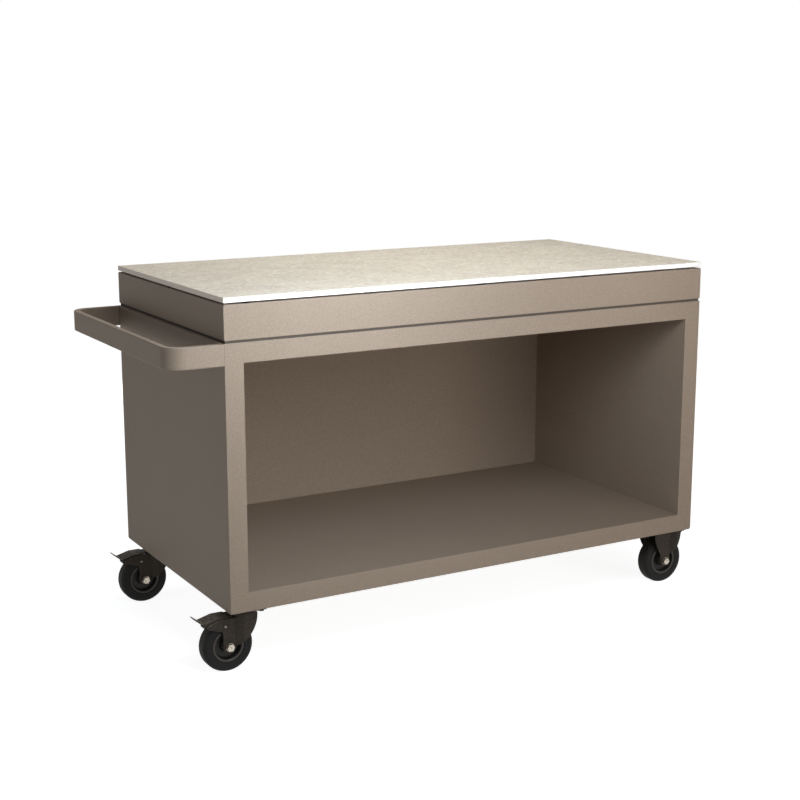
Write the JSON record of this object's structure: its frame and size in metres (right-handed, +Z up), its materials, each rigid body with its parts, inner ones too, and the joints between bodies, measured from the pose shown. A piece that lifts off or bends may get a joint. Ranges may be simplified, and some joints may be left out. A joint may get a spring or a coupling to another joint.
{
  "type": "grill cart",
  "caption": "Open-fronted steel grill cart with a stone worktop, a push handle at one end and castors, with braked swivel castors at the handle end.",
  "frame": {"origin": "on the floor, under the middle of the cart's bounding box", "axes": "+X runs along the cart, away from the push handle; +Y runs from the open front to the back; +Z is up"},
  "size_m": [1.4924, 0.68, 0.881],
  "materials": {
    "bronze_coat": "taupe bronze powder coat, satin",
    "stone": "opaque mottled beige stone, honed",
    "black_strip": "black, matt",
    "galvanised": "bare galvanised steel",
    "zinc_plated": "zinc-plated, bright",
    "castor_black": "black coated steel, semi-gloss",
    "bearing_steel": "polished steel",
    "tyre": "black solid rubber",
    "core": "black moulded plastic",
    "bush": "natural nylon",
    "rubber": "black rubber"
  },
  "bodies": {
    "cart": {"front_frame": "bronze_coat", "left_side_skin": "bronze_coat", "right_side_skin": "bronze_coat", "left_liner": "bronze_coat", "right_liner": "bronze_coat", "storage_floor": "bronze_coat", "storage_ceiling": "bronze_coat", "underside_panel": "bronze_coat", "cabinet_top_panel": "bronze_coat", "back_panel": "bronze_coat", "back_screws": "zinc_plated", "castor_rails": "galvanised", "floor_cross_rails": "galvanised", "tube_frame": "galvanised", "upper_front_rail": "bronze_coat", "upper_back_rail": "bronze_coat", "upper_left_rail": "bronze_coat", "upper_right_rail": "bronze_coat", "shadow_gap_strips": "black_strip", "upper_box_bolts": "zinc_plated", "worktop_supports": "galvanised", "slab_pads": "rubber", "worktop_slab": "stone", "handle_bar": "bronze_coat", "handle_wall_bar": "bronze_coat", "handle_bolts": "zinc_plated", "castor_bolts": "zinc_plated", "kingpins": "zinc_plated", "rigid_axle_bolts": "zinc_plated", "rigid_axle_sleeves": "zinc_plated", "swivel_plate_front_left": "castor_black", "swivel_plate_back_left": "castor_black", "rigid_fork_front_right": "castor_black", "rigid_fork_back_right": "castor_black"},
    "swivel_front_left": {"swivel_fork_front_left": "castor_black", "race_balls_front_left": "bearing_steel", "axle_sleeve_front_left": "zinc_plated", "axle_bolt_front_left": "zinc_plated"},
    "pedal_front_left": {"brake_pedal_front_left": "castor_black", "brake_shoe_front_left": "rubber", "detent_spring_front_left": "zinc_plated"},
    "wheel_front_left": {"wheel_core_front_left": "core", "tyre_front_left": "tyre", "wheel_bush_front_left": "bush"},
    "swivel_back_left": {"swivel_fork_back_left": "castor_black", "race_balls_back_left": "bearing_steel", "axle_sleeve_back_left": "zinc_plated", "axle_bolt_back_left": "zinc_plated"},
    "pedal_back_left": {"brake_pedal_back_left": "castor_black", "brake_shoe_back_left": "rubber", "detent_spring_back_left": "zinc_plated"},
    "wheel_back_left": {"wheel_core_back_left": "core", "tyre_back_left": "tyre", "wheel_bush_back_left": "bush"},
    "wheel_front_right": {"wheel_core_front_right": "core", "tyre_front_right": "tyre", "wheel_bush_front_right": "bush"},
    "wheel_back_right": {"wheel_core_back_right": "core", "tyre_back_right": "tyre", "wheel_bush_back_right": "bush"}
  },
  "joints": [
    {"name": "castor_swivel_front_left", "type": "hinge", "parent": "cart", "child": "swivel_front_left", "pos_m": [-0.56025, -0.276, 0.1425], "axis": [0, 0, 1], "continuous": true},
    {"name": "wheel_spin_front_left", "type": "hinge", "parent": "swivel_front_left", "child": "wheel_front_left", "pos_m": [-0.60225, -0.276, 0.0625], "axis": [0, 1, 0], "continuous": true},
    {"name": "brake_pedal_front_left", "type": "hinge", "parent": "swivel_front_left", "child": "pedal_front_left", "pos_m": [-0.61195, -0.276, 0.1143], "axis": [0, -1, 0], "range_deg": [0, 14]},
    {"name": "castor_swivel_back_left", "type": "hinge", "parent": "cart", "child": "swivel_back_left", "pos_m": [-0.56025, 0.276, 0.1425], "axis": [0, 0, 1], "continuous": true},
    {"name": "wheel_spin_back_left", "type": "hinge", "parent": "swivel_back_left", "child": "wheel_back_left", "pos_m": [-0.60225, 0.276, 0.0625], "axis": [0, 1, 0], "continuous": true},
    {"name": "brake_pedal_back_left", "type": "hinge", "parent": "swivel_back_left", "child": "pedal_back_left", "pos_m": [-0.61195, 0.276, 0.1143], "axis": [0, -1, 0], "range_deg": [0, 14]},
    {"name": "wheel_spin_front_right", "type": "hinge", "parent": "cart", "child": "wheel_front_right", "pos_m": [0.68375, -0.276, 0.0625], "axis": [0, 1, 0], "continuous": true},
    {"name": "wheel_spin_back_right", "type": "hinge", "parent": "cart", "child": "wheel_back_right", "pos_m": [0.68375, 0.276, 0.0625], "axis": [0, 1, 0], "continuous": true}
  ]
}
